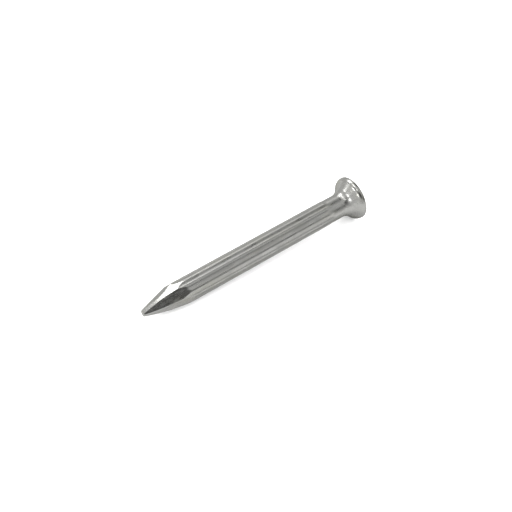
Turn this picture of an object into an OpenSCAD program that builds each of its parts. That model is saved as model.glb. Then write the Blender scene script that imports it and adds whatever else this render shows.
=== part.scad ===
// Hardened steel concrete nail, 4 x 40 mm, bright zinc plated.
// It lies along X: the flat face that the hammer strikes is at x = 0 and the
// point is at x = -nail_length. Every zone is a closed solid of its own and
// meets the next one face to face.

/* [Overall] */
// Length from the struck face to the tip
nail_length = 40; // [30:0.5:60]
// Diameter of the plain neck under the head
neck_d = 3.85; // [3:0.05:4.5]

/* [Head] */
// Largest diameter of the head, at its rim
head_d = 7.2; // [6:0.1:8]
// Radius of the small round between the struck face and the rim
face_edge_r = 0.18; // [0.05:0.01:0.25]
// Distance from the struck face down to where the rim begins to curve in
rim_depth = 0.26; // [0.26:0.02:0.5]
// Radius of the full curve under the rim
rim_round_r = 1.1; // [0.4:0.05:1.2]
// Angle between the countersunk underside and the axis
cone_angle = 46; // [40:1:55]

/* [Neck] */
// Radius of the hollow curve that joins the cone to the plain neck
neck_fillet_r = 2.2; // [1:0.1:2.6]
// Distance from the struck face to the end of the plain round neck
neck_end = 5.2; // [4.4:0.1:7]

/* [Shank] */
// Thickness over two opposite crests, which is the nail's nominal size
crest_d = 4; // [3.1:0.05:4.8]
// Number of straight flutes round the shank
flute_count = 12; // [10:2:12]
// Turn of the first crest about the axis, from straight up
crest_turn = -7; // [-15:1:15]
// Depth of a flute below the crests
flute_depth = 0.08; // [0.06:0.01:0.16]
// Width of the narrow flat left on each crest between two flutes
crest_width = 0.24; // [0.1:0.01:0.3]
// Length over which a flute rises to nothing under the neck
flute_runout = 0.8; // [0.4:0.1:1.5]

/* [Point] */
// Length of the zone that holds the pointed end
point_length = 10; // [9.7:0.1:12]
// Turn of each main face about the axis, from straight up
face_turn = [42, 136, 226, 332]; // [0:1:360]
// How far each main face runs back from the tip along its middle
face_reach = [7.9, 9, 6.9, 5.4]; // [4:0.1:9]
// How far each main face bows outward over its length
face_bow = [0.1, 0.28, 0.05, 0.02]; // [0.02:0.01:0.3]
// Distance from the axis to each main face at the tip
face_tip = [0.46, 0.46, 0.46, 0.46]; // [0.3:0.02:0.6]
// Turn of each bevel between two main faces, from straight up
bevel_turn = [354, 91, 181, 279]; // [0:1:360]
// How far each bevel runs back from the tip
bevel_reach = [7.3, 9, 7.2, 6.6]; // [4:0.1:9]
// How far each bevel bows outward over its length
bevel_bow = [0.25, 0.28, 0.13, 0.13]; // [0.02:0.01:0.3]
// Distance from the axis to each bevel at the tip
bevel_tip = [0.26, 0.46, 0.4, 0.46]; // [0.2:0.02:0.6]
// Radius of the blunt dome at the very tip
tip_dome_r = 1.2; // [0.9:0.1:1.5]

/* [Hidden] */

smooth = 96;
very_smooth = 360;
zinc = [0.70, 0.70, 0.67];
zinc_head = [0.66, 0.66, 0.63];
zinc_cone = [0.73, 0.73, 0.69];
zinc_neck = [0.68, 0.69, 0.65];
zinc_point = [0.62, 0.62, 0.60];

quarter_turn = 90;
neck_r = neck_d / 2;
shank_r = crest_d / 2;
head_r = head_d / 2;
wide = 3 * head_d;

// Where the curve under the rim runs out onto the straight cone
rim_end_x = -rim_depth - rim_round_r * sin(cone_angle);
rim_end_r = head_r - rim_round_r + rim_round_r * cos(cone_angle);

// Where the straight cone would meet the neck if there were no hollow curve
corner_x = rim_end_x - (rim_end_r - neck_r) / tan(cone_angle);
fillet_run = neck_fillet_r * tan(cone_angle / 2);
fillet_top_x = corner_x + fillet_run * cos(cone_angle);
fillet_top_r = neck_r + fillet_run * sin(cone_angle);
fillet_end_x = corner_x - fillet_run;

// Where the point begins, and where the flutes start to rise out of the bar
point_start = -nail_length + point_length;
flute_full_end = -neck_end - flute_runout;

// Cutter circle of a flute, through both edges of the crests and the bottom
pitch_angle = 360 / flute_count;
crest_half_angle = atan(crest_width / 2 / shank_r);
flute_half_angle = pitch_angle / 2 - crest_half_angle;
crest_edge_r = shank_r / cos(crest_half_angle);
flute_half_chord = crest_edge_r * sin(flute_half_angle);
flute_sag = crest_edge_r * cos(flute_half_angle) - shank_r + flute_depth;
flute_r = (pow(flute_half_chord, 2) + pow(flute_sag, 2)) / (2 * flute_sag);
flute_centre_r = shank_r - flute_depth + flute_r;

// The two cones of the run-out. The inner one fills the flutes little by
// little and the outer one trims the crests, both down to the neck
runout_spare = 0.02;
runout_inner_r = shank_r - flute_depth - runout_spare;
runout_outer_r = crest_edge_r + runout_spare;

// Turns its children so that their own Z runs along the nail, towards the head
module along(x) {
    translate([x, 0, 0])
        rotate([0, quarter_turn, 0])
            children();
}

// Solid of revolution about the nail's axis, from a section in [radius, x]
module turned() {
    along(0)
        rotate_extrude($fn = smooth)
            children();
}

// Half section of the head in [radius, x]: rounded face edge, rim and the
// full curve under the rim, down to where that curve becomes the cone
module head_section() {
    face_r = head_r - face_edge_r;
    curve_r = head_r - rim_round_r;
    translate([0, -face_edge_r])
        square([face_r, face_edge_r]);
    translate([face_r, -face_edge_r])
        intersection() {
            circle(r = face_edge_r, $fn = smooth);
            square(face_edge_r);
        }
    translate([0, -rim_depth])
        square([head_r, rim_depth - face_edge_r]);
    translate([0, rim_end_x])
        square([curve_r, -rim_depth - rim_end_x]);
    intersection() {
        translate([curve_r, -rim_depth])
            circle(r = rim_round_r, $fn = very_smooth);
        translate([curve_r, rim_end_x])
            square([rim_round_r, -rim_depth - rim_end_x]);
    }
}

// Half section of the cone and of the hollow curve that ends at the neck
module countersink_section() {
    difference() {
        polygon([
            [0, rim_end_x],
            [rim_end_r, rim_end_x],
            [fillet_top_r, fillet_top_x],
            [fillet_top_r, fillet_end_x],
            [0, fillet_end_x],
        ]);
        translate([neck_r + neck_fillet_r, fillet_end_x])
            circle(r = neck_fillet_r, $fn = very_smooth);
    }
}

// Cross-section of the bar: a regular outline with one side on each crest,
// from which the flutes are cut. Its own X points straight down
module fluted_section() {
    rotate(crest_turn)
        difference() {
            rotate(pitch_angle / 2)
                circle(r = shank_r / cos(pitch_angle / 2), $fn = flute_count);
            for (i = [0 : flute_count - 1])
                rotate((i + 1 / 2) * pitch_angle)
                    translate([flute_centre_r, 0])
                        circle(r = flute_r, $fn = smooth);
        }
}

// Everything inside one face of the point. The face is part of a large drum
// that lies across the nail, so it is straight across and bows lengthwise
module inside_face(turn, tip, reach, bow) {
    rise = shank_r - tip;
    slope = atan(rise / reach);
    half_chord = norm([reach, rise]) / 2;
    drum_r = (pow(half_chord, 2) + pow(bow, 2)) / (2 * bow);
    sink = drum_r - bow;
    rotate([turn, 0, 0])
        translate([-nail_length + reach / 2 + sink * sin(slope),
                   0,
                   tip + rise / 2 - sink * cos(slope)])
            rotate([quarter_turn, 0, 0])
                cylinder(r = drum_r, h = wide, center = true,
                         $fn = very_smooth);
}

// Blunt dome at the tip, and all the room behind it
module inside_dome() {
    translate([-nail_length + tip_dome_r, 0, 0])
        sphere(r = tip_dome_r, $fn = smooth);
    along(-nail_length + tip_dome_r)
        cylinder(r = head_r, h = point_length, $fn = smooth);
}

// Struck disc with its rim and the full curve under the rim
module head() {
    color(zinc_head)
        turned()
            head_section();
}

// Countersunk cone and the hollow curve below it
module countersink() {
    color(zinc_cone)
        turned()
            countersink_section();
}

// Plain round neck, where the flutes have ended
module neck() {
    color(zinc_neck)
        along(-neck_end)
            cylinder(r = neck_r, h = neck_end + fillet_end_x,
                     $fn = very_smooth);
}

// Stretch of the shank where the flutes are at their full depth
module full_flutes() {
    along(point_start)
        linear_extrude(flute_full_end - point_start)
            fluted_section();
}

// Stretch where the flutes run out and the crests come down to the neck
module flute_runout_zone() {
    intersection() {
        along(flute_full_end)
            linear_extrude(flute_runout)
                fluted_section();
        along(flute_full_end)
            cylinder(r1 = runout_outer_r, r2 = neck_r + runout_spare,
                     h = flute_runout, $fn = very_smooth);
    }
    along(flute_full_end)
        cylinder(r1 = runout_inner_r, r2 = neck_r,
                 h = flute_runout, $fn = very_smooth);
}

// Fluted shank, from the neck to where the point begins
module shank() {
    color(zinc)
        union() {
            full_flutes();
            flute_runout_zone();
        }
}

// Pointed end: four main faces, a bevel between each two, and a blunt tip
module point() {
    color(zinc_point)
        intersection() {
            along(-nail_length)
                linear_extrude(point_length)
                    fluted_section();
            inside_dome();
            intersection_for (i = [0 : 3])
                inside_face(face_turn[i],
                            face_tip[i], face_reach[i], face_bow[i]);
            intersection_for (i = [0 : 3])
                inside_face(bevel_turn[i],
                            bevel_tip[i], bevel_reach[i], bevel_bow[i]);
        }
}

head();
countersink();
neck();
shank();
point();
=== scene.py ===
import math

import bpy
import numpy as np
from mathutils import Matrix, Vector, noise


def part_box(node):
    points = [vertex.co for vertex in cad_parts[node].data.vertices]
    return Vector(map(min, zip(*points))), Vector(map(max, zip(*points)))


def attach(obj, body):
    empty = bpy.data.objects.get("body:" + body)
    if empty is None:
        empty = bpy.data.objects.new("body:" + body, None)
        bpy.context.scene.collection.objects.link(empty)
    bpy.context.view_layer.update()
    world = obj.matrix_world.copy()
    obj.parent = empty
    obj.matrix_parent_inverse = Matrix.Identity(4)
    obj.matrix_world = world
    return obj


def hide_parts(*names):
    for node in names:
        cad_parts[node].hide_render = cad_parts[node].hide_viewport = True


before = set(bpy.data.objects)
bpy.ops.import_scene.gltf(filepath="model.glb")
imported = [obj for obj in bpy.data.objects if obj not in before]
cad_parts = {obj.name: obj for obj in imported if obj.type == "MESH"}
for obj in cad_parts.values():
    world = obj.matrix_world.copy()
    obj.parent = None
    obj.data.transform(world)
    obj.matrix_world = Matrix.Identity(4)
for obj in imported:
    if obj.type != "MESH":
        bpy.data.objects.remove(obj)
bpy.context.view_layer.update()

# Sizes. Everything is in metres. The nail lies along X, struck face at x = 0

MM = 0.001

# Where each zone of the nail ends along its axis, as the CAD model has it
RIM_END_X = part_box("head")[0].x
CONE_END_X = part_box("countersink")[0].x
NECK_END_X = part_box("neck")[0].x
POINT_START_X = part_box("shank")[0].x
TIP_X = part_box("point")[0].x
HEAD_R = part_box("head")[1].z
NECK_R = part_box("neck")[1].z

# The forged head
FACE_EDGE_R = 0.18 * MM
RIM_DEPTH = 0.26 * MM
RIM_ROUND_R = 1.1 * MM
CONE_ANGLE = 46
NECK_FILLET_R = 2.2 * MM
HEAD_OFF_CENTRE = 0.10 * MM
OFF_CENTRE_WAY = Vector((0, 0.81, 0.59)).normalized()
OUT_OF_ROUND = ((2, 0.022 * MM, 0.6), (3, 0.014 * MM, 2.1), (5, 0.008 * MM, 4.0))

# The rolled flutes
FLUTE_COUNT = 12
FLUTE_DEPTH = 0.08 * MM
CREST_WIDTH = 0.3 * MM
CREST_R = 2.0 * MM
CREST_TURN = -7
CREST_SOFTNESS = 0.008 * MM
RUNOUT_LENGTH = 0.9 * MM
RUNOUT_SPREAD = 0.22 * MM
RUNOUT_TURN = 2.4
RUNOUT_PHASE = 0.8

# The point. Each face: turn about the axis from straight up, distance from
# the axis at the tip, how far it runs back, how far it bows outward
POINT_FACES = (
    (42, 0.46 * MM, 7.9 * MM, 0.10 * MM),
    (136, 0.46 * MM, 9.0 * MM, 0.28 * MM),
    (226, 0.46 * MM, 6.9 * MM, 0.05 * MM),
    (332, 0.46 * MM, 5.6 * MM, -0.10 * MM),
    (354, 0.26 * MM, 7.3 * MM, 0.25 * MM),
    (91, 0.46 * MM, 9.0 * MM, 0.28 * MM),
    (181, 0.40 * MM, 7.2 * MM, 0.13 * MM),
    (279, 0.46 * MM, 6.6 * MM, 0.13 * MM),
)
TIP_DOME_R = 1.2 * MM
RIDGE_SOFTNESS = 0.012 * MM

# A face of the point has no hold where it turns further away than this cosine,
# and the dome has none behind its centre, where its limit climbs this steeply
LEAST_FACING = 0.05
DOME_RELEASE = 9

# Fineness of the mesh
ROUND_STEPS = 24 * FLUTE_COUNT
FACE_CENTRE_R = 0.06 * MM
FACE_STEP = 0.16 * MM
CURVE_STEP = 0.05 * MM
NECK_STEP = 0.09 * MM
SHANK_STEP = 0.22 * MM
POINT_STEP = 0.07 * MM
FIRST_TIP_STEP = 0.0005 * MM
TIP_STEP_SHARE = 0.16
LEAST_ARC_STEPS = 6

# Ripples that the forging and the plating barrel leave in the surface
RIPPLE_HEIGHT = 0.006 * MM
RIPPLE_LENGTH = 2.4 * MM
RIPPLE_WIDTH = 0.7 * MM

# How sharply a convex edge must turn, per metre, before its plating is rubbed
RUB_FROM = 1500
RUB_FULL = 9000
RUB_SPREADS = 3
LEAST_CHORD_SQUARED = 1e-14


# The nail's surface, as rings of points along the axis


def spaced(start, end, step):
    """Evenly spaced values from start up to but without end"""
    count = max(1, round(abs(end - start) / step))
    return [start + (end - start) * i / count for i in range(count)]


def arc(centre_x, centre_r, radius, start, end):
    """Stations along an arc. 0 degrees points along X and 90 points outward"""
    count = max(LEAST_ARC_STEPS, round(radius * math.radians(abs(end - start)) / CURVE_STEP))
    angles = [math.radians(start + (end - start) * i / count) for i in range(count)]
    return [(centre_x + radius * math.cos(a), centre_r + radius * math.sin(a)) for a in angles]


def head_stations():
    """Face, rounded edge, rim, full curve, cone and hollow curve, down to the neck"""
    face_r = HEAD_R - FACE_EDGE_R
    curve_r = HEAD_R - RIM_ROUND_R
    cone = math.radians(CONE_ANGLE)
    rim_end_r = curve_r + RIM_ROUND_R * math.cos(cone)
    fillet_top_x = CONE_END_X + NECK_FILLET_R * math.sin(cone)
    fillet_top_r = NECK_R + NECK_FILLET_R * (1 - math.cos(cone))
    stations = [(0, r) for r in spaced(FACE_CENTRE_R, face_r, FACE_STEP)]
    stations += arc(-FACE_EDGE_R, face_r, FACE_EDGE_R, 0, 90)
    stations += [(x, HEAD_R) for x in spaced(-FACE_EDGE_R, -RIM_DEPTH, CURVE_STEP)]
    stations += arc(-RIM_DEPTH, curve_r, RIM_ROUND_R, 90, 90 + CONE_ANGLE)
    along_cone = spaced(0, 1, CURVE_STEP / (RIM_END_X - fillet_top_x))
    for share in along_cone:
        x = RIM_END_X + (fillet_top_x - RIM_END_X) * share
        r = rim_end_r + (fillet_top_r - rim_end_r) * share
        stations.append((x, r))
    stations += arc(CONE_END_X, NECK_R + NECK_FILLET_R, NECK_FILLET_R, CONE_ANGLE - 90, -90)
    return stations


def bar_stations():
    """Neck, shank and point. The stations crowd together towards the tip"""
    xs = spaced(CONE_END_X, NECK_END_X, NECK_STEP)
    runout_end_x = NECK_END_X - 2 * RUNOUT_LENGTH
    xs += spaced(NECK_END_X, runout_end_x, NECK_STEP)
    xs += spaced(runout_end_x, POINT_START_X, SHANK_STEP)
    dome_end_x = TIP_X + TIP_DOME_R / 2
    xs += spaced(POINT_START_X, dome_end_x, POINT_STEP)
    reach = dome_end_x - TIP_X
    while reach > FIRST_TIP_STEP:
        xs.append(TIP_X + reach)
        reach -= min(POINT_STEP, TIP_STEP_SHARE * reach + FIRST_TIP_STEP / 2)
    return [(x, NECK_R) for x in xs]


def softly_least(radii, softness):
    """The least of several radii, with the corners between them rounded off"""
    least = np.minimum.reduce(radii)
    total = sum(np.exp((least - r) / softness) for r in radii)
    return least - softness * np.log(total)


def fluted_radius(turn):
    """Radius of the fluted bar"""
    pitch = 2 * math.pi / FLUTE_COUNT
    crest_half = math.atan(CREST_WIDTH / 2 / CREST_R)
    crest_edge_r = CREST_R / math.cos(crest_half)
    half = pitch / 2 - crest_half
    chord = crest_edge_r * math.sin(half)
    sag = crest_edge_r * math.cos(half) - CREST_R + FLUTE_DEPTH
    cutter_r = (chord**2 + sag**2) / (2 * sag)
    centre_r = CREST_R - FLUTE_DEPTH + cutter_r
    off = ((turn - math.radians(CREST_TURN)) % pitch) - pitch / 2
    hollow = centre_r * np.cos(off) - np.sqrt(cutter_r**2 - (centre_r * np.sin(off)) ** 2)
    return softly_least([hollow, np.full_like(turn, CREST_R)], CREST_SOFTNESS)


def smooth_share(value, start, end):
    """0 before start, 1 after end, and a smooth rise between them"""
    share = np.clip((value - start) / (end - start), 0, 1)
    return share * share * (3 - 2 * share)


def flute_share(x, turn):
    """How deep the flutes are: 0 on the neck and 1 on the shank. No two end alike"""
    flute = np.floor((turn - math.radians(CREST_TURN)) / (2 * math.pi / FLUTE_COUNT))
    end_x = NECK_END_X + RUNOUT_SPREAD * np.cos(RUNOUT_TURN * flute + RUNOUT_PHASE)
    return smooth_share(-x, -end_x, -end_x + RUNOUT_LENGTH)


def point_radius(x, turn):
    """Radius that the faces of the point and its domed tip leave"""
    reach = x - TIP_X
    radii = []
    for face_turn, tip, run, bow in POINT_FACES:
        share = reach / run
        rise = CREST_R - tip
        end_slope = rise - 4 * bow
        inside = tip + rise * share + 4 * bow * share * (1 - share)
        height = np.where(share < 1, inside, CREST_R + end_slope * (share - 1))
        facing = np.cos(turn - math.radians(face_turn))
        radii.append(height / np.maximum(facing, LEAST_FACING))
    inside_dome = TIP_DOME_R**2 - np.maximum(TIP_DOME_R - reach, 0) ** 2
    behind_dome = np.maximum(reach - TIP_DOME_R, 0)
    radii.append(np.sqrt(np.maximum(inside_dome, 0)) + DOME_RELEASE * behind_dome)
    return radii


def ripple(points):
    """Slight unevenness of the surface, longer along the nail than across it"""
    stretch = Vector((1 / RIPPLE_LENGTH, 1 / RIPPLE_WIDTH, 1 / RIPPLE_WIDTH))
    heights = [noise.noise(Vector(p) * stretch) for p in points.reshape(-1, 3)]
    return RIPPLE_HEIGHT * np.array(heights).reshape(points.shape[:2])


def surface():
    """Stations, and the points of the whole nail as an array [station, turn, xyz]"""
    stations = np.array(head_stations() + bar_stations())
    turn = np.arange(ROUND_STEPS) * 2 * math.pi / ROUND_STEPS
    x, profile_r = np.broadcast_arrays(*stations.T[:, :, None], turn[None, :])[:2]
    turn = np.broadcast_to(turn, x.shape)
    bar_r = NECK_R - (NECK_R - fluted_radius(turn)) * flute_share(x, turn)
    r = profile_r - (NECK_R - bar_r)
    pointed = x < POINT_START_X + SHANK_STEP
    r = np.where(pointed, softly_least([r] + point_radius(x, turn), RIDGE_SOFTNESS), r)
    forged = np.clip((profile_r - NECK_R) / (HEAD_R - NECK_R), 0, 1)
    for waves, height, phase in OUT_OF_ROUND:
        r = r + forged * height * np.cos(waves * turn + phase)
    points = np.stack([x, -r * np.sin(turn), r * np.cos(turn)], -1)
    towards = np.stack([0 * x, -np.sin(turn), np.cos(turn)], -1)
    calm = smooth_share(r, 0, 4 * RIPPLE_WIDTH)
    points = points + towards * (ripple(points) * calm)[:, :, None]
    on_head = np.where(x > RIM_END_X, 1.0, forged)
    return stations, points + on_head[:, :, None] * HEAD_OFF_CENTRE * np.array(OFF_CENTRE_WAY)


def surface_normals(points):
    """Outward normals, from the neighbours of each point"""
    around = np.roll(points, -1, 1) - np.roll(points, 1, 1)
    lengthwise = np.gradient(points, axis=0)
    normals = np.cross(lengthwise, around)
    return normals / np.linalg.norm(normals, axis=2, keepdims=True)


def rubbed_edges(points, normals):
    """1 on sharp convex edges, where handling rubs the plating, and 0 elsewhere"""
    before, after = np.roll(points, 1, 1), np.roll(points, -1, 1)
    bend = ((2 * points - before - after) * normals).sum(2)
    sharpness = bend / np.maximum((((after - before) / 2) ** 2).sum(2), LEAST_CHORD_SQUARED)
    rub = smooth_share(sharpness, RUB_FROM, RUB_FULL)
    for _ in range(RUB_SPREADS):
        rub = (np.roll(rub, 1, 1) + 2 * rub + np.roll(rub, -1, 1)) / 4
    return rub


# Pieces


def station_at(stations, x):
    """Index of the first station at x or beyond it"""
    return int(np.argmax(stations[:, 0] <= x + 1e-9))


def closed_piece(name, points, normals, rub):
    """Mesh of the rings between two stations, closed by a flat cap at both ends"""
    rings, steps = points.shape[:2]
    faces, corner_normals = [], []
    flat = normals.reshape(-1, 3)
    for ring in range(rings - 1):
        for step in range(steps):
            following = (step + 1) % steps
            a, b = ring * steps + step, ring * steps + following
            face = (a, a + steps, b + steps, b)
            faces.append(face)
            corner_normals.extend(flat[list(face)])
    caps = ((range(steps), 1), (range((rings - 1) * steps, rings * steps), -1))
    for ring, way in caps:
        faces.append(tuple(ring)[::way])
        corner_normals.extend([(way, 0, 0)] * steps)
    mesh = bpy.data.meshes.new(name)
    mesh.from_pydata(points.reshape(-1, 3).tolist(), [], faces)
    mesh.update()
    mesh.shade_smooth()
    mesh.normals_split_custom_set([tuple(n) for n in corner_normals])
    worn = mesh.attributes.new("rubbed", "FLOAT", "POINT")
    worn.data.foreach_set("value", rub.reshape(-1).astype(np.float32))
    piece = bpy.data.objects.new(name, mesh)
    bpy.context.scene.collection.objects.link(piece)
    return piece


# Shader groups that the zinc finishes share

BLOOM_EDGE = 0.16
GRAINS_IN_PATCH = 17.0
KNOCK_STRETCH = 1.7
FILM_STRENGTH = 0.35
# Painted shade: how far the dents are darkened towards the darker colour
DENT_SHADE = 0.12
GRAIN_ADDS = 0.04
# Darker colour that the drawn lines take as their own tone and the dents take as painted shade
LINE_TONE_AND_DENT_SHADE = (0.16, 0.16, 0.15, 1)


def socket(group, name, kind, way, value=None):
    """One named input or output of a shader group"""
    made = group.interface.new_socket(name=name, in_out=way, socket_type=kind)
    if value is not None:
        made.default_value = value
    return made


def new_group(name, inputs, outputs):
    """An empty shader group with its sockets, and its input and output nodes"""
    group = bpy.data.node_groups.new(name, "ShaderNodeTree")
    for socket_name, kind, value in inputs:
        socket(group, socket_name, kind, "INPUT", value)
    for socket_name, kind in outputs:
        socket(group, socket_name, kind, "OUTPUT")
    return group, group.nodes.new("NodeGroupInput"), group.nodes.new("NodeGroupOutput")


def node(tree, kind, links=(), **settings):
    """A node with its settings, and its inputs linked or set by name or number"""
    made = tree.nodes.new(kind)
    for name, value in settings.items():
        setattr(made, name, value)
    for where, value in dict(links).items():
        if isinstance(value, bpy.types.NodeSocket):
            tree.links.new(value, made.inputs[where])
        else:
            made.inputs[where].default_value = value
    return made


def maths(tree, operation, first, second=0.0, clamp=False):
    """Result of one Math node"""
    made = node(tree, "ShaderNodeMath", {0: first, 1: second}, operation=operation, use_clamp=clamp)
    return made.outputs[0]


def ranged(tree, value, start, end, low=0.0, high=1.0):
    """value, mapped smoothly from start..end to low..high"""
    links = {"Value": value, "From Min": start, "From Max": end, "To Min": low, "To Max": high}
    made = node(tree, "ShaderNodeMapRange", links, interpolation_type="SMOOTHSTEP")
    return made.outputs["Result"]


def blended(tree, share, first, second):
    """Two colours mixed by share"""
    links = {"Factor": share, "A": first, "B": second}
    made = tree.nodes.new("ShaderNodeMix")
    made.data_type = "RGBA"
    by_name = {s.name: s for s in made.inputs if s.enabled}
    for name, value in links.items():
        if isinstance(value, bpy.types.NodeSocket):
            tree.links.new(value, by_name[name])
        else:
            by_name[name].default_value = value
    return next(s for s in made.outputs if s.enabled)


def stretched(tree, vector, length, width):
    """vector counted in units of length along the nail and width across it"""
    along = maths(tree, "DIVIDE", 1.0, length)
    across = maths(tree, "DIVIDE", 1.0, width)
    scale = node(tree, "ShaderNodeCombineXYZ", {"X": along, "Y": across, "Z": across})
    factors = {0: vector, 1: scale.outputs[0]}
    made = node(tree, "ShaderNodeVectorMath", factors, operation="MULTIPLY")
    return made.outputs[0]


def cloud_texture(tree, vector, scale, detail, roughness):
    """Noise from 0 to 1 at vector"""
    settings = {"Vector": vector, "Scale": scale, "Detail": detail, "Roughness": roughness}
    return node(tree, "ShaderNodeTexNoise", settings).outputs[0]


def drawn_lines_group():
    """Fine lines that the die and the rolls leave along the wire"""
    inputs = (
        ("Vector", "NodeSocketVector", None),
        ("Line length", "NodeSocketFloat", 3 * MM),
        ("Line width", "NodeSocketFloat", 0.05 * MM),
        ("Depth", "NodeSocketFloat", 1.0),
    )
    outputs = (("Lines", "NodeSocketFloat"), ("Height", "NodeSocketFloat"))
    group, given, made = new_group("drawn lines", inputs, outputs)
    had = given.outputs
    vector = stretched(group, had["Vector"], had["Line length"], had["Line width"])
    fine = cloud_texture(group, vector, 1.0, 3.0, 0.55)
    lines = ranged(group, fine, 0.32, 0.68)
    group.links.new(lines, made.inputs["Lines"])
    group.links.new(maths(group, "MULTIPLY", lines, had["Depth"]), made.inputs["Height"])
    return group


def zinc_bloom_group():
    """Cloudy patches where the zinc has grown duller"""
    inputs = (
        ("Vector", "NodeSocketVector", None),
        ("Patch length", "NodeSocketFloat", 2.5 * MM),
        ("Patch width", "NodeSocketFloat", 0.8 * MM),
        ("Cover", "NodeSocketFloat", 0.5),
    )
    outputs = (("Bloom", "NodeSocketFloat"), ("Grain", "NodeSocketFloat"))
    group, given, made = new_group("zinc bloom", inputs, outputs)
    had = given.outputs
    vector = stretched(group, had["Vector"], had["Patch length"], had["Patch width"])
    cloud = cloud_texture(group, vector, 1.0, 5.0, 0.62)
    edge = maths(group, "SUBTRACT", 1.0, had["Cover"])
    start = maths(group, "SUBTRACT", edge, BLOOM_EDGE)
    end = maths(group, "ADD", edge, BLOOM_EDGE)
    group.links.new(ranged(group, cloud, start, end), made.inputs["Bloom"])
    crystal = cloud_texture(group, vector, GRAINS_IN_PATCH, 2.0, 0.5)
    group.links.new(ranged(group, crystal, 0.3, 0.7), made.inputs["Grain"])
    return group


def barrel_knocks_group():
    """Small dents from nails knocking together in the plating barrel. Their mask also darkens the colour
    as painted shade
    """
    inputs = (
        ("Vector", "NodeSocketVector", None),
        ("Spacing", "NodeSocketFloat", 0.9 * MM),
        ("Dent size", "NodeSocketFloat", 0.25),
        ("Share hit", "NodeSocketFloat", 0.4),
    )
    outputs = (("Dent", "NodeSocketFloat"), ("Height", "NodeSocketFloat"))
    group, given, made = new_group("barrel knocks", inputs, outputs)
    spacing = given.outputs["Spacing"]
    length = maths(group, "MULTIPLY", spacing, KNOCK_STRETCH)
    vector = stretched(group, given.outputs["Vector"], length, spacing)
    cells = node(group, "ShaderNodeTexVoronoi", {"Vector": vector, "Scale": 1.0, "Randomness": 1.0})
    chance = node(group, "ShaderNodeSeparateColor", {"Color": cells.outputs["Color"]})
    hit = maths(group, "LESS_THAN", chance.outputs[0], given.outputs["Share hit"])
    inside = ranged(group, cells.outputs["Distance"], 0.0, given.outputs["Dent size"], 1.0, 0.0)
    dent = maths(group, "MULTIPLY", inside, hit)
    group.links.new(dent, made.inputs["Dent"])
    group.links.new(maths(group, "MULTIPLY", dent, -1.0), made.inputs["Height"])
    return group


def plated_colour_group():
    """Colour of zinc plate from its masks: clear, bloomed, tinted, dented and rubbed. The darkening in the
    dents is painted shade
    """
    inputs = (
        ("Clear zinc", "NodeSocketColor", (0.5, 0.5, 0.48, 1)),
        ("Bloomed zinc", "NodeSocketColor", (0.4, 0.4, 0.39, 1)),
        ("Film tint", "NodeSocketColor", (0.5, 0.5, 0.4, 1)),
        ("Rubbed zinc", "NodeSocketColor", (0.65, 0.65, 0.64, 1)),
        ("Bloom", "NodeSocketFloat", 0.0),
        ("Film", "NodeSocketFloat", 0.0),
        ("Lines", "NodeSocketFloat", 0.5),
        ("Line strength", "NodeSocketFloat", 0.12),
        ("Dent", "NodeSocketFloat", 0.0),
        ("Rub", "NodeSocketFloat", 0.0),
    )
    group, given, made = new_group("plated colour", inputs, (("Colour", "NodeSocketColor"),))
    had = given.outputs
    colour = blended(group, had["Bloom"], had["Clear zinc"], had["Bloomed zinc"])
    colour = blended(group, maths(group, "MULTIPLY", had["Film"], FILM_STRENGTH), colour, had["Film tint"])
    # The lines darken as their own tone; the dents darken as painted shade
    shade = maths(group, "MULTIPLY", had["Lines"], had["Line strength"])
    shade = maths(group, "ADD", shade, maths(group, "MULTIPLY", had["Dent"], DENT_SHADE), clamp=True)
    colour = blended(group, shade, colour, LINE_TONE_AND_DENT_SHADE)
    colour = blended(group, had["Rub"], colour, had["Rubbed zinc"])
    group.links.new(colour, made.inputs["Colour"])
    return group


def plated_roughness_group():
    """Roughness of zinc plate from the same masks"""
    inputs = (
        ("Polish", "NodeSocketFloat", 0.2),
        ("Bloom adds", "NodeSocketFloat", 0.12),
        ("Lines add", "NodeSocketFloat", 0.06),
        ("Rub takes", "NodeSocketFloat", 0.05),
        ("Bloom", "NodeSocketFloat", 0.0),
        ("Lines", "NodeSocketFloat", 0.5),
        ("Grain", "NodeSocketFloat", 0.5),
        ("Rub", "NodeSocketFloat", 0.0),
    )
    group, given, made = new_group("plated roughness", inputs, (("Roughness", "NodeSocketFloat"),))
    had = given.outputs
    bloom = maths(group, "MULTIPLY", had["Bloom"], had["Bloom adds"])
    lines = maths(group, "MULTIPLY", had["Lines"], had["Lines add"])
    rub = maths(group, "MULTIPLY", had["Rub"], had["Rub takes"])
    grain = maths(group, "MULTIPLY", had["Grain"], GRAIN_ADDS)
    total = maths(group, "ADD", had["Polish"], maths(group, "ADD", bloom, lines))
    total = maths(group, "SUBTRACT", maths(group, "ADD", total, grain), rub, clamp=True)
    group.links.new(total, made.inputs["Roughness"])
    return group


GROUPS = {
    "lines": drawn_lines_group(),
    "bloom": zinc_bloom_group(),
    "knocks": barrel_knocks_group(),
    "colour": plated_colour_group(),
    "roughness": plated_roughness_group(),
}


def placed(tree, name, links):
    """One of the shared groups, placed in a material with its own values"""
    made = node(tree, "ShaderNodeGroup", (), node_tree=GROUPS[name])
    for where, value in links.items():
        if isinstance(value, bpy.types.NodeSocket):
            tree.links.new(value, made.inputs[where])
        else:
            made.inputs[where].default_value = value
    return made.outputs


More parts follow.
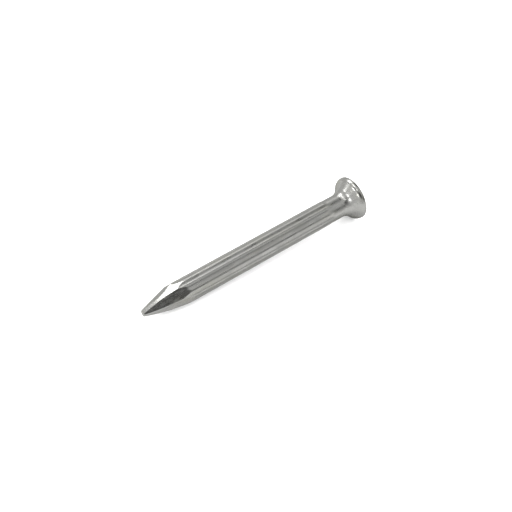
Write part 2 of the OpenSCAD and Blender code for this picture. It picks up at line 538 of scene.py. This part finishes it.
def zinc_finish(name, lines, bloom, knocks, colour, roughness, heights):
    """Zinc plate. Each argument but the last holds the values of one shared group"""
    material = bpy.data.materials.new(name)
    material.use_nodes = True
    tree = material.node_tree
    tree.nodes.clear()
    where = tree.nodes.new("ShaderNodeTexCoord").outputs["Object"]
    rub = node(tree, "ShaderNodeAttribute", (), attribute_name="rubbed").outputs["Fac"]
    drawn = placed(tree, "lines", {"Vector": where, **lines})
    cloud = placed(tree, "bloom", {"Vector": where, **bloom})
    film = placed(tree, "bloom", {"Vector": where, **FILM_PATCHES})
    knock = placed(tree, "knocks", {"Vector": where, **knocks})
    masks = {"Bloom": cloud["Bloom"], "Lines": drawn["Lines"], "Rub": rub}
    tint = placed(tree, "colour", {**masks, "Film": film["Bloom"], "Dent": knock["Dent"], **colour})
    gloss = placed(tree, "roughness", {**masks, "Grain": cloud["Grain"], **roughness})
    line_height, dent_height, grain_height = heights
    height = maths(tree, "MULTIPLY", drawn["Height"], line_height)
    height = maths(tree, "ADD", height, maths(tree, "MULTIPLY", knock["Height"], dent_height))
    height = maths(tree, "ADD", height, maths(tree, "MULTIPLY", cloud["Grain"], grain_height))
    bump = node(tree, "ShaderNodeBump", {"Height": height, "Strength": 1.0, "Distance": 1.0})
    surface_shader = node(tree, "ShaderNodeBsdfPrincipled", {
        "Base Color": tint["Colour"],
        "Metallic": 1.0,
        "Roughness": gloss["Roughness"],
        "Specular Tint": EDGE_TINT,
        "Normal": bump.outputs[0],
    })
    node(tree, "ShaderNodeOutputMaterial", {"Surface": surface_shader.outputs[0]})
    return material


# Finishes of the five zones

FILM_PATCHES = {"Patch length": 7 * MM, "Patch width": 1.6 * MM, "Cover": 0.42}

CLEAR = (0.36, 0.36, 0.345, 1)
DULL = (0.29, 0.29, 0.28, 1)
YELLOWED = (0.34, 0.335, 0.27, 1)
BARE = (0.46, 0.46, 0.45, 1)
EDGE_TINT = (0.55, 0.55, 0.54, 1)
COLOURS = {"Clear zinc": CLEAR, "Bloomed zinc": DULL, "Film tint": YELLOWED, "Rubbed zinc": BARE}


def head_finish():
    return zinc_finish(
        "zinc_on_struck_head",
        lines={"Line length": 0.4 * MM, "Line width": 0.16 * MM},
        bloom={"Patch length": 1.0 * MM, "Patch width": 1.0 * MM, "Cover": 0.45},
        knocks={"Spacing": 0.8 * MM, "Dent size": 0.28, "Share hit": 0.35},
        colour={**COLOURS, "Line strength": 0.08},
        roughness={"Polish": 0.17, "Bloom adds": 0.10, "Lines add": 0.04},
        heights=(0.0008 * MM, 0.006 * MM, 0.0005 * MM),
    )


def countersink_finish():
    return zinc_finish(
        "zinc_on_countersink",
        lines={"Line length": 0.9 * MM, "Line width": 0.08 * MM},
        bloom={"Patch length": 1.4 * MM, "Patch width": 0.9 * MM, "Cover": 0.45},
        knocks={"Spacing": 0.9 * MM, "Dent size": 0.25, "Share hit": 0.25},
        colour={**COLOURS, "Line strength": 0.10},
        roughness={"Polish": 0.18, "Bloom adds": 0.10, "Lines add": 0.05},
        heights=(0.0012 * MM, 0.005 * MM, 0.0005 * MM),
    )


def neck_finish():
    return zinc_finish(
        "zinc_on_plain_neck",
        lines={"Line length": 2.0 * MM, "Line width": 0.07 * MM},
        bloom={"Patch length": 1.6 * MM, "Patch width": 0.8 * MM, "Cover": 0.5},
        knocks={"Spacing": 1.0 * MM, "Dent size": 0.22, "Share hit": 0.3},
        colour={**COLOURS, "Line strength": 0.12},
        roughness={"Polish": 0.19, "Bloom adds": 0.12, "Lines add": 0.06},
        heights=(0.0012 * MM, 0.005 * MM, 0.0005 * MM),
    )


def shank_finish():
    return zinc_finish(
        "zinc_on_fluted_shank",
        lines={"Line length": 3.5 * MM, "Line width": 0.055 * MM},
        bloom={"Patch length": 2.6 * MM, "Patch width": 0.7 * MM, "Cover": 0.5},
        knocks={"Spacing": 1.2 * MM, "Dent size": 0.2, "Share hit": 0.3},
        colour={**COLOURS, "Line strength": 0.14},
        roughness={"Polish": 0.20, "Bloom adds": 0.12, "Lines add": 0.06},
        heights=(0.0015 * MM, 0.005 * MM, 0.0006 * MM),
    )


def point_finish():
    return zinc_finish(
        "zinc_on_pressed_point",
        lines={"Line length": 3.0 * MM, "Line width": 0.055 * MM},
        bloom={"Patch length": 2.6 * MM, "Patch width": 0.7 * MM, "Cover": 0.45},
        knocks={"Spacing": 1.3 * MM, "Dent size": 0.16, "Share hit": 0.2},
        colour={**COLOURS, "Line strength": 0.12},
        roughness={"Polish": 0.18, "Bloom adds": 0.11, "Lines add": 0.05},
        heights=(0.0013 * MM, 0.005 * MM, 0.0006 * MM),
    )


def build_nail():
    """The five zones of the nail, each a closed piece in its own finish"""
    stations, points = surface()
    normals = surface_normals(points)
    rub = rubbed_edges(points, normals)
    zones = (
        ("head", RIM_END_X, head_finish),
        ("countersink", CONE_END_X, countersink_finish),
        ("neck", NECK_END_X, neck_finish),
        ("shank", POINT_START_X, shank_finish),
        ("point", TIP_X, point_finish),
    )
    first, pieces = 0, []
    for zone, end_x, finish in zones:
        last = len(stations) - 1 if zone == "point" else station_at(stations, end_x)
        span = slice(first, last + 1)
        piece = closed_piece(f"nail_{zone}", points[span], normals[span], rub[span])
        piece.data.materials.append(finish())
        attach(piece, "root")
        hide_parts(zone)
        pieces.append(piece)
        first = last
    return pieces


# Floor, light and camera

FLOOR_SIZE = 4.0
FLOOR_GREY = 0.93
# Grey of the floor as the metal reflects it: a painted darker reflection
FLOOR_GREY_IN_METAL = 0.50
FLOOR_CLEARANCE = 0.005 * MM

VIEW_AZIMUTH = -36.44
VIEW_ELEVATION = 47.94
VIEW_DISTANCE = 150 * MM
VIEW_LENS = 68.96
AIM_ASIDE = 0.465 * MM
AIM_DOWN = 0.486 * MM

# Each light: azimuth, elevation, distance, width, height, brightness
LIGHTS = {
    "back_softbox": (175, 50, 0.60, 0.20, 0.20, 8.0),
    "top_softbox": (-165, 80, 0.60, 0.12, 0.16, 6.0),
    "overhead_lamp": (-25, 74, 0.60, 0.08, 0.08, 7.0),
    "back_right_softbox": (148, 38, 0.60, 0.14, 0.14, 1.2),
    "left_lamp_back": (-133, 31, 0.60, 0.05, 0.06, 26.0),
    "left_lamp_high": (-92, 46, 0.60, 0.08, 0.08, 26.0),
    "left_lamp_low": (-52, 33, 0.60, 0.08, 0.08, 26.0),
}
WORLD_SEEN = 1.0
WORLD_ON_MATT = 2.2
WORLD_IN_METAL = 0.9

# Dark corners of the studio: azimuth, elevation, reach in degrees, darkness
DARK_CORNERS = (
    (-6, 41, 24, 1.0),
    (26, 20, 16, 0.95),
    (110, 62, 18, 0.95),
    (-30, 56, 14, 0.9),
    (-80, 62, 14, 0.8),
)


def outward(azimuth, elevation):
    """Direction from the nail. Azimuth 0 looks from -Y and 90 from +X"""
    a, e = math.radians(azimuth), math.radians(elevation)
    return Vector((math.sin(a) * math.cos(e), -math.cos(a) * math.cos(e), math.sin(e)))


def nail_middle():
    return Vector((TIP_X / 2, 0, 0))


def make_floor(pieces):
    """Pale floor, tilted so that the nail rests on its rim and on its shank"""
    corners = np.concatenate([
        np.array([v.co for v in p.data.vertices])[:, [0, 2]] for p in pieces
    ])
    rim = corners[np.argmin(np.where(corners[:, 0] > CONE_END_X, corners[:, 1], 1))]
    slopes = (corners[:, 1] - rim[1]) / np.minimum(corners[:, 0] - rim[0], -MM)
    behind = corners[:, 0] < NECK_END_X
    slope = np.max(np.where(behind, slopes, -1))
    half = FLOOR_SIZE / 2
    low = rim[1] - FLOOR_CLEARANCE
    vertices = [(rim[0] + x, y, low + slope * x) for x, y in
                ((-half, -half), (half, -half), (half, half), (-half, half))]
    mesh = bpy.data.meshes.new("floor")
    mesh.from_pydata(vertices, [], [(0, 1, 2, 3)])
    floor = bpy.data.objects.new("floor", mesh)
    bpy.context.scene.collection.objects.link(floor)
    mesh.materials.append(floor_finish())


def floor_finish():
    """Matt white paper, barely uneven. Where the metal reflects it, it is painted darker: a painted
    reflection
    """
    material = bpy.data.materials.new("white_paper")
    material.use_nodes = True
    tree = material.node_tree
    tree.nodes.clear()
    where = tree.nodes.new("ShaderNodeTexCoord").outputs["Object"]
    fibres = node(tree, "ShaderNodeTexNoise", {"Vector": where, "Scale": 900.0, "Detail": 2.0})
    grey = ranged(tree, fibres.outputs[0], 0.3, 0.7, FLOOR_GREY - 0.01, FLOOR_GREY + 0.01)
    # Painted reflection: the floor is darker in glossy rays than it is to the eye
    in_metal = tree.nodes.new("ShaderNodeLightPath").outputs["Is Glossy Ray"]
    painted_reflection_dimming = ranged(tree, in_metal, 0, 1, 1, FLOOR_GREY_IN_METAL / FLOOR_GREY)
    grey = maths(tree, "MULTIPLY", grey, painted_reflection_dimming)
    colour = node(tree, "ShaderNodeCombineColor", {0: grey, 1: grey, 2: grey})
    paper = node(tree, "ShaderNodeBsdfDiffuse", {"Color": colour.outputs[0]})
    node(tree, "ShaderNodeOutputMaterial", {"Surface": paper.outputs[0]})
    return material


def make_light(name, azimuth, elevation, distance, width, height, brightness):
    """A rectangular softbox that faces the nail"""
    lamp = bpy.data.lights.new(name, "AREA")
    lamp.shape = "RECTANGLE"
    lamp.size, lamp.size_y = width, height
    lamp.energy = brightness * math.pi * width * height
    light = bpy.data.objects.new(name, lamp)
    away = outward(azimuth, elevation)
    light.location = nail_middle() + away * distance
    light.rotation_mode = "QUATERNION"
    light.rotation_quaternion = away.to_track_quat("Z", "Y")
    light.visible_camera = False
    bpy.context.scene.collection.objects.link(light)


def make_world():
    """White to the eye and to the floor. In the metal, a pale room with dark corners"""
    world = bpy.data.worlds.new("studio")
    bpy.context.scene.world = world
    world.use_nodes = True
    tree = world.node_tree
    tree.nodes.clear()
    way = tree.nodes.new("ShaderNodeTexCoord").outputs["Generated"]
    room = WORLD_IN_METAL
    for azimuth, elevation, reach, darkness in DARK_CORNERS:
        corner = tuple(outward(azimuth, elevation))
        near = node(tree, "ShaderNodeVectorMath", {0: way, 1: corner}, operation="DOT_PRODUCT")
        edge = math.cos(math.radians(reach))
        level = ranged(tree, near.outputs["Value"], edge, 1.0, 1.0, 1.0 - darkness)
        room = maths(tree, "MULTIPLY", level, room)
    path = tree.nodes.new("ShaderNodeLightPath").outputs
    seen = maths(tree, "MULTIPLY", path["Is Camera Ray"], WORLD_SEEN)
    in_metal = maths(tree, "MULTIPLY", path["Is Glossy Ray"], room)
    elsewhere = maths(tree, "SUBTRACT", 1.0, path["Is Glossy Ray"])
    elsewhere = maths(tree, "SUBTRACT", elsewhere, path["Is Camera Ray"], clamp=True)
    on_matt = maths(tree, "MULTIPLY", elsewhere, WORLD_ON_MATT)
    strength = maths(tree, "ADD", maths(tree, "ADD", seen, in_metal), on_matt)
    glow = node(tree, "ShaderNodeBackground", {"Color": (1, 1, 1, 1), "Strength": strength})
    node(tree, "ShaderNodeOutputWorld", {"Surface": glow.outputs[0]})


def make_camera():
    lens = bpy.data.cameras.new("camera")
    lens.lens = VIEW_LENS
    lens.clip_start, lens.clip_end = 5 * MM, 20
    camera = bpy.data.objects.new("camera", lens)
    back = outward(VIEW_AZIMUTH, VIEW_ELEVATION)
    aside = Vector((-back.y, back.x, 0)).normalized()
    above = back.cross(aside)
    camera.location = nail_middle() + back * VIEW_DISTANCE
    aim = nail_middle() + aside * AIM_ASIDE - above * AIM_DOWN
    camera.rotation_mode = "QUATERNION"
    camera.rotation_quaternion = (aim - camera.location).to_track_quat("-Z", "Y")
    bpy.context.scene.collection.objects.link(camera)
    bpy.context.scene.camera = camera


bpy.context.scene.view_settings.view_transform = "Standard"
make_camera()
nail = build_nail()
make_floor(nail)
for light_name, values in LIGHTS.items():
    make_light(light_name, *values)
make_world()
